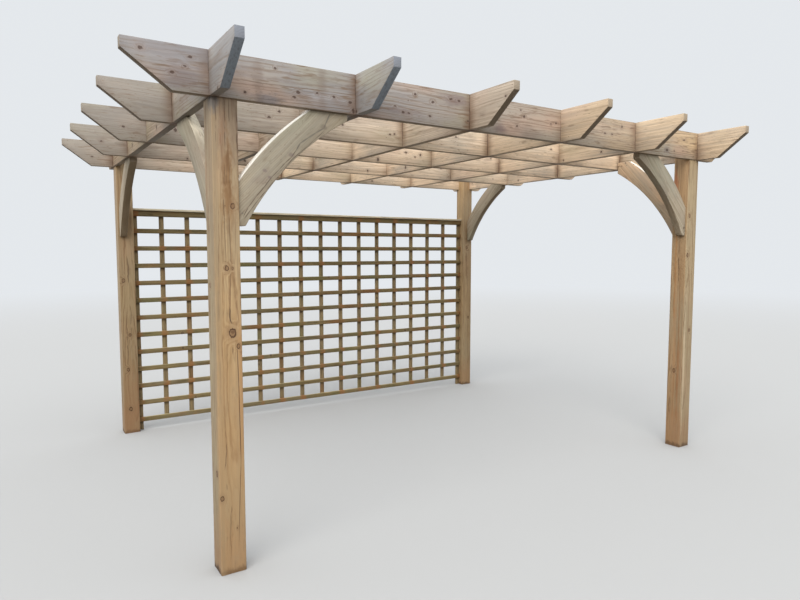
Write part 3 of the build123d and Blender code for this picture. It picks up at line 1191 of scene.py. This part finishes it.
# Darker just under each rail: partly a drip stain, partly painted shadow cast by the rail in front.
def drips_and_shadow_under_rails(log, base):
    away = from_middle(log.split(log.place)[2], top_rail_middle - rail_pitch, -rail_pitch)[1]
    below = log.step(away + log.fray * 0.02, -0.055, -0.022)
    return log.mix(below * log.step(away, 0.0, -0.018) * 0.75, base, DRIP_AND_SHADOW)


rail_rust = rusty_crossings(0, first_upright, upright_pitch, 0.9)
# Painted highlight on the rails' tops and upper arrises, for sky light from above.
rail_marks = [painted_side_light(UP, paint(186, 174, 138), 0.8), rail_rust]
upright_marks = [rusty_crossings(2, top_rail_middle, -rail_pitch, 0.5), drips_and_shadow_under_rails]
rail_finish = lath_finish("grain_trellis_rails", "x", LATH_LOOK, rail_marks)
upright_finish = lath_finish("grain_trellis_uprights", "z", UPRIGHT_LOOK, upright_marks)
for piece in rails:
    piece.data.materials.append(rail_finish)
for piece in uprights + stiles:
    piece.data.materials.append(upright_finish)
cap_pith = (cap_low + cap_high) / 2 + CAP_PITH
cap_finish = timber_finish("grain_trellis_cap", cap_pith, GRAIN["x"], CAP_SEED, CAP_LOOK)
cap.data.materials.append(cap_finish)
print("laths finished:", len(rails + uprights + stiles), "and the cap")

# %% [markdown]
# Last come the fixings. Every crossing of the trellis has one small nail, set out by two array modifiers at
# the pitches of the uprights and the rails. Screws hold the braces: three through each thinned head into the
# beam, and one low in the foot of the front ones, run into the post. Two more hold the front beam to the
# right post. A screw head is a short cylinder with a sunk socket; one is modelled, and the others are copies
# turned to face outwards.

# %% Drive the nails
NAIL_RADIUS, NAIL_DEPTH, NAIL_SIDES, NAIL_PROUD = 0.0024, 0.002, 8, 0.0007
ROUNDED_SHARE = 0.2


def fixing(name, radius, depth, sides):
    """A short cylinder standing on nothing, its outer end at the origin and its axis upright."""
    bpy.ops.object.select_all(action="DESELECT")
    outer_end = (0, 0, -depth / 2)
    bpy.ops.mesh.primitive_cylinder_add(vertices=sides, radius=radius, depth=depth, location=outer_end)
    piece = bpy.context.object
    piece.name = name
    settle(piece)
    bevel(piece, radius * ROUNDED_SHARE, 1)
    return piece


def driven(source, name, place, facing):
    """A copy of a fixing with its outer end at a place, facing a direction."""
    copy = own_copy(source, name)
    copy.location = place
    copy.rotation_euler = Vector(facing).to_track_quat("Z", "Y").to_euler()
    settle(copy)
    return copy


nail = fixing("nail", NAIL_RADIUS, NAIL_DEPTH, NAIL_SIDES)
first_nail = (first_upright - upright_pitch, lattice_low.y - NAIL_PROUD, top_rail_middle)
nails = driven(nail, "trellis_nails", first_nail, FRONT)
bpy.data.objects.remove(nail)
for count, pitch in ((BAYS + 1, (upright_pitch, 0, 0)), (RAILS, (0, 0, -rail_pitch))):
    offset = dict(use_relative_offset=False, use_constant_offset=True, constant_offset_displace=pitch)
    apply_modifier(nails, "ARRAY", count=count, **offset)
print("nail faces:", len(nails.data.polygons))

# %% Model one screw head
SCREW_RADIUS, SCREW_DEPTH, SCREW_SIDES, SCREW_PROUD = 0.0048, 0.003, 12, 0.0004
SOCKET_EDGE = 0.42

screw = fixing("screw", SCREW_RADIUS, SCREW_DEPTH, SCREW_SIDES)
select_only(screw)
bpy.ops.object.mode_set(mode="EDIT")
bpy.ops.mesh.select_mode(type="FACE")
bpy.ops.mesh.select_all(action="DESELECT")
bpy.ops.object.mode_set(mode="OBJECT")
max(screw.data.polygons, key=lambda face: face.center.z).select = True
bpy.ops.object.mode_set(mode="EDIT")
bpy.ops.mesh.inset(thickness=SCREW_RADIUS * SOCKET_EDGE)
bpy.ops.mesh.extrude_region_move(TRANSFORM_OT_translate={"value": (0, 0, -SCREW_DEPTH / 2)})
bpy.ops.object.mode_set(mode="OBJECT")
print("screw faces:", len(screw.data.polygons))

# %% Drive the screws
FOOT_SCREW, FOOT_UP = 0.018, 1.765
HEAD_SCREWS, HEAD_UP = (0.426, 0.496, 0.565), 2.323
BEAM_SCREW, BEAM_SCREWS_UP = 1.833, (2.318, 2.414)

brace_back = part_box("brace_front_left")[1].y
side_brace_inside = -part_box("brace_left_front")[1].x
post_x, post_y, _ = inner_corner
places = []
for side in (-1, 1):
    for along in HEAD_SCREWS:
        places.append(((-side * (post_x + along), brace_back + SCREW_PROUD, HEAD_UP), BACK))
    places.append(((-side * (post_x + FOOT_SCREW), brace_front - SCREW_PROUD, FOOT_UP), FRONT))
    for end in (-1, 1):
        for along in HEAD_SCREWS:
            place = (side * (side_brace_inside - SCREW_PROUD), -end * (post_y + along), HEAD_UP)
            places.append((place, (-side, 0, 0)))
places += [((BEAM_SCREW, beam_low.y - SCREW_PROUD, up), FRONT) for up in BEAM_SCREWS_UP]
heads = [driven(screw, f"screw_{number}", place, facing) for number, (place, facing) in enumerate(places)]
bpy.data.objects.remove(screw)
bpy.ops.object.select_all(action="DESELECT")
for head in heads:
    head.select_set(True)
bpy.context.view_layer.objects.active = heads[0]
bpy.ops.object.join()
screws = bpy.context.object
screws.name = "brace_screws"
print("screws driven:", len(places))

# %% Finish the fixings
steel = Finish("weathered_steel")
speck = steel.noise(steel.object_place(), 3.0, 400.0)
steel_colour = steel.mix(steel.step(speck, -0.1, 0.2), paint(120, 118, 112), paint(104, 78, 56))
sockets = {"Base Color": steel_colour, "Metallic": 0.7, "Roughness": speck * 0.5 + 0.5}
steel.show(steel.node("BsdfPrincipled", None, sockets))
for piece in (nails, screws):
    piece.data.materials.append(steel.owner)
    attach(piece, "root")
print("fixings finished")
